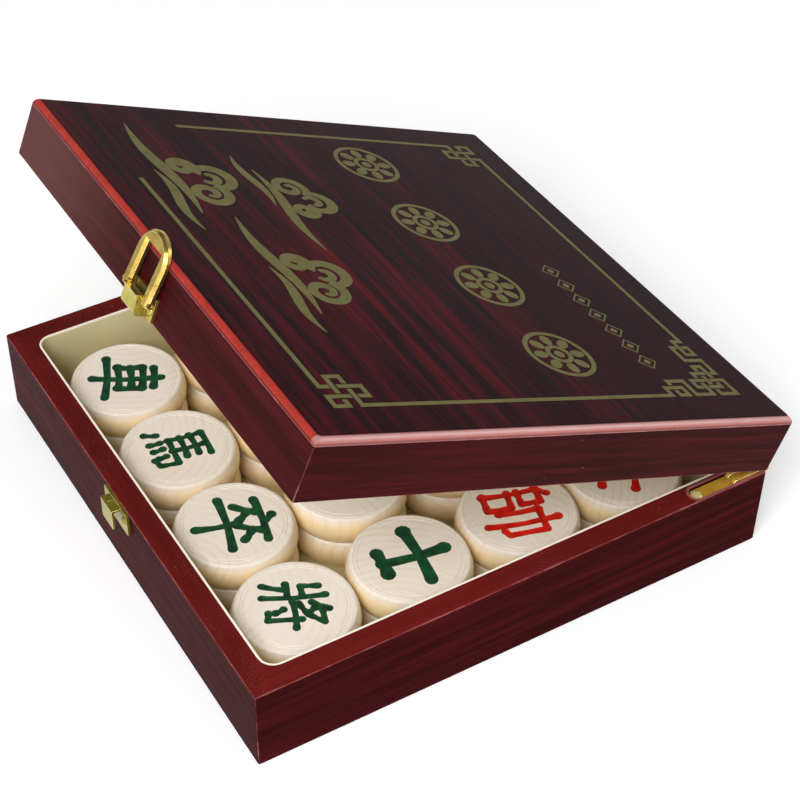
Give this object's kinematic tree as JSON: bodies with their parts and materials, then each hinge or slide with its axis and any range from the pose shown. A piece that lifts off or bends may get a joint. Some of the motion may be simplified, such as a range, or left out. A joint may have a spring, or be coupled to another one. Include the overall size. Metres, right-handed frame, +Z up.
{
  "type": "hinged game box with playing discs",
  "caption": "Square hinged wooden box with a loop latch, recessed strap hinges and turned playing discs stacked in two layers.",
  "frame": {"origin": "centre of the box's underside, on the surface that it stands on", "axes": "-Y is the latch side, +Y the hinge side, +X to the right of someone who faces the latch, +Z up"},
  "size_m": [0.23, 0.2419, 0.1547],
  "materials": {
    "lacquered_rail": "dark red-brown satin lacquer with a fine dark grain along each rail",
    "lacquered_top": "near-black red lacquer, satin, with a bright red rounded edge and a thin printed border",
    "floor_board": "plain thin board, unpolished",
    "lining": "matt cream lining",
    "brass": "polished, bright",
    "turned_wood": "pale turned hardwood, smooth, with engraved and painted marks"
  },
  "bodies": {
    "base": {"base_front_rail": "lacquered_rail", "base_back_rail": "lacquered_rail", "base_left_rail": "lacquered_rail", "base_right_rail": "lacquered_rail", "base_floor_panel": "floor_board", "base_liner": "lining", "base_floor_lining": "lining", "hinge_base_leaf_left": "brass", "hinge_base_leaf_right": "brass", "hinge_pin_left": "brass", "hinge_pin_right": "brass", "hinge_base_screws": "brass", "latch_keeper": "brass", "latch_keeper_nails": "brass"},
    "lid": {"lid_front_rail": "lacquered_rail", "lid_back_rail": "lacquered_rail", "lid_left_rail": "lacquered_rail", "lid_right_rail": "lacquered_rail", "lid_top_panel": "lacquered_top", "lid_lining": "lining", "hinge_lid_leaf_left": "brass", "hinge_lid_leaf_right": "brass", "hinge_lid_screws": "brass", "latch_bracket": "brass", "latch_pin": "brass", "latch_bracket_nails": "brass"},
    "loop": {"latch_loop": "brass"},
    "piece_low_r1c1": {"piece_low_r1c1": "turned_wood"},
    "piece_low_r1c2": {"piece_low_r1c2": "turned_wood"},
    "piece_low_r1c3": {"piece_low_r1c3": "turned_wood"},
    "piece_low_r1c4": {"piece_low_r1c4": "turned_wood"},
    "piece_low_r2c1": {"piece_low_r2c1": "turned_wood"},
    "piece_low_r2c2": {"piece_low_r2c2": "turned_wood"},
    "piece_low_r2c3": {"piece_low_r2c3": "turned_wood"},
    "piece_low_r2c4": {"piece_low_r2c4": "turned_wood"},
    "piece_low_r3c1": {"piece_low_r3c1": "turned_wood"},
    "piece_low_r3c2": {"piece_low_r3c2": "turned_wood"},
    "piece_low_r3c3": {"piece_low_r3c3": "turned_wood"},
    "piece_low_r3c4": {"piece_low_r3c4": "turned_wood"},
    "piece_low_r4c1": {"piece_low_r4c1": "turned_wood"},
    "piece_low_r4c2": {"piece_low_r4c2": "turned_wood"},
    "piece_low_r4c3": {"piece_low_r4c3": "turned_wood"},
    "piece_low_r4c4": {"piece_low_r4c4": "turned_wood"},
    "piece_top_r1c1": {"piece_top_r1c1": "turned_wood"},
    "piece_top_r1c2": {"piece_top_r1c2": "turned_wood"},
    "piece_top_r1c3": {"piece_top_r1c3": "turned_wood"},
    "piece_top_r1c4": {"piece_top_r1c4": "turned_wood"},
    "piece_top_r2c1": {"piece_top_r2c1": "turned_wood"},
    "piece_top_r2c2": {"piece_top_r2c2": "turned_wood"},
    "piece_top_r2c3": {"piece_top_r2c3": "turned_wood"},
    "piece_top_r2c4": {"piece_top_r2c4": "turned_wood"},
    "piece_top_r3c1": {"piece_top_r3c1": "turned_wood"},
    "piece_top_r3c2": {"piece_top_r3c2": "turned_wood"},
    "piece_top_r3c3": {"piece_top_r3c3": "turned_wood"},
    "piece_top_r3c4": {"piece_top_r3c4": "turned_wood"},
    "piece_top_r4c1": {"piece_top_r4c1": "turned_wood"},
    "piece_top_r4c2": {"piece_top_r4c2": "turned_wood"},
    "piece_top_r4c3": {"piece_top_r4c3": "turned_wood"},
    "piece_top_r4c4": {"piece_top_r4c4": "turned_wood"}
  },
  "joints": [
    {"name": "lid_hinge", "type": "hinge", "parent": "base", "child": "lid", "pos_m": [0, 0.1148, 0.03775], "axis": [-1, 0, 0], "range_deg": [-22.4, 73]},
    {"name": "latch_loop_pivot", "type": "hinge", "parent": "lid", "child": "loop", "pos_m": [0, -0.09706, 0.13334], "axis": [-1, 0, 0], "range_deg": [-184.1, 0]},
    {"name": "lift_low_r1c1", "type": "slide", "parent": "base", "child": "piece_low_r1c1", "axis": [0, 0, 1], "range_m": [0, 0.035]},
    {"name": "lift_low_r1c2", "type": "slide", "parent": "base", "child": "piece_low_r1c2", "axis": [0, 0, 1], "range_m": [0, 0.035]},
    {"name": "lift_low_r1c3", "type": "slide", "parent": "base", "child": "piece_low_r1c3", "axis": [0, 0, 1], "range_m": [0, 0.035]},
    {"name": "lift_low_r1c4", "type": "slide", "parent": "base", "child": "piece_low_r1c4", "axis": [0, 0, 1], "range_m": [0, 0.035]},
    {"name": "lift_low_r2c1", "type": "slide", "parent": "base", "child": "piece_low_r2c1", "axis": [0, 0, 1], "range_m": [0, 0.035]},
    {"name": "lift_low_r2c2", "type": "slide", "parent": "base", "child": "piece_low_r2c2", "axis": [0, 0, 1], "range_m": [0, 0.035]},
    {"name": "lift_low_r2c3", "type": "slide", "parent": "base", "child": "piece_low_r2c3", "axis": [0, 0, 1], "range_m": [0, 0.035]},
    {"name": "lift_low_r2c4", "type": "slide", "parent": "base", "child": "piece_low_r2c4", "axis": [0, 0, 1], "range_m": [0, 0.035]},
    {"name": "lift_low_r3c1", "type": "slide", "parent": "base", "child": "piece_low_r3c1", "axis": [0, 0, 1], "range_m": [0, 0.035]},
    {"name": "lift_low_r3c2", "type": "slide", "parent": "base", "child": "piece_low_r3c2", "axis": [0, 0, 1], "range_m": [0, 0.035]},
    {"name": "lift_low_r3c3", "type": "slide", "parent": "base", "child": "piece_low_r3c3", "axis": [0, 0, 1], "range_m": [0, 0.035]},
    {"name": "lift_low_r3c4", "type": "slide", "parent": "base", "child": "piece_low_r3c4", "axis": [0, 0, 1], "range_m": [0, 0.035]},
    {"name": "lift_low_r4c1", "type": "slide", "parent": "base", "child": "piece_low_r4c1", "axis": [0, 0, 1], "range_m": [0, 0.035]},
    {"name": "lift_low_r4c2", "type": "slide", "parent": "base", "child": "piece_low_r4c2", "axis": [0, 0, 1], "range_m": [0, 0.035]},
    {"name": "lift_low_r4c3", "type": "slide", "parent": "base", "child": "piece_low_r4c3", "axis": [0, 0, 1], "range_m": [0, 0.035]},
    {"name": "lift_low_r4c4", "type": "slide", "parent": "base", "child": "piece_low_r4c4", "axis": [0, 0, 1], "range_m": [0, 0.035]},
    {"name": "lift_top_r1c1", "type": "slide", "parent": "piece_low_r1c1", "child": "piece_top_r1c1", "axis": [0, 0, 1], "range_m": [0, 0.024]},
    {"name": "lift_top_r1c2", "type": "slide", "parent": "piece_low_r1c2", "child": "piece_top_r1c2", "axis": [0, 0, 1], "range_m": [0, 0.024]},
    {"name": "lift_top_r1c3", "type": "slide", "parent": "piece_low_r1c3", "child": "piece_top_r1c3", "axis": [0, 0, 1], "range_m": [0, 0.024]},
    {"name": "lift_top_r1c4", "type": "slide", "parent": "piece_low_r1c4", "child": "piece_top_r1c4", "axis": [0, 0, 1], "range_m": [0, 0.024]},
    {"name": "lift_top_r2c1", "type": "slide", "parent": "piece_low_r2c1", "child": "piece_top_r2c1", "axis": [0, 0, 1], "range_m": [0, 0.024]},
    {"name": "lift_top_r2c2", "type": "slide", "parent": "piece_low_r2c2", "child": "piece_top_r2c2", "axis": [0, 0, 1], "range_m": [0, 0.024]},
    {"name": "lift_top_r2c3", "type": "slide", "parent": "piece_low_r2c3", "child": "piece_top_r2c3", "axis": [0, 0, 1], "range_m": [0, 0.024]},
    {"name": "lift_top_r2c4", "type": "slide", "parent": "piece_low_r2c4", "child": "piece_top_r2c4", "axis": [0, 0, 1], "range_m": [0, 0.024]},
    {"name": "lift_top_r3c1", "type": "slide", "parent": "piece_low_r3c1", "child": "piece_top_r3c1", "axis": [0, 0, 1], "range_m": [0, 0.024]},
    {"name": "lift_top_r3c2", "type": "slide", "parent": "piece_low_r3c2", "child": "piece_top_r3c2", "axis": [0, 0, 1], "range_m": [0, 0.024]},
    {"name": "lift_top_r3c3", "type": "slide", "parent": "piece_low_r3c3", "child": "piece_top_r3c3", "axis": [0, 0, 1], "range_m": [0, 0.024]},
    {"name": "lift_top_r3c4", "type": "slide", "parent": "piece_low_r3c4", "child": "piece_top_r3c4", "axis": [0, 0, 1], "range_m": [0, 0.024]},
    {"name": "lift_top_r4c1", "type": "slide", "parent": "piece_low_r4c1", "child": "piece_top_r4c1", "axis": [0, 0, 1], "range_m": [0, 0.024]},
    {"name": "lift_top_r4c2", "type": "slide", "parent": "piece_low_r4c2", "child": "piece_top_r4c2", "axis": [0, 0, 1], "range_m": [0, 0.024]},
    {"name": "lift_top_r4c3", "type": "slide", "parent": "piece_low_r4c3", "child": "piece_top_r4c3", "axis": [0, 0, 1], "range_m": [0, 0.024]},
    {"name": "lift_top_r4c4", "type": "slide", "parent": "piece_low_r4c4", "child": "piece_top_r4c4", "axis": [0, 0, 1], "range_m": [0, 0.024]}
  ]
}
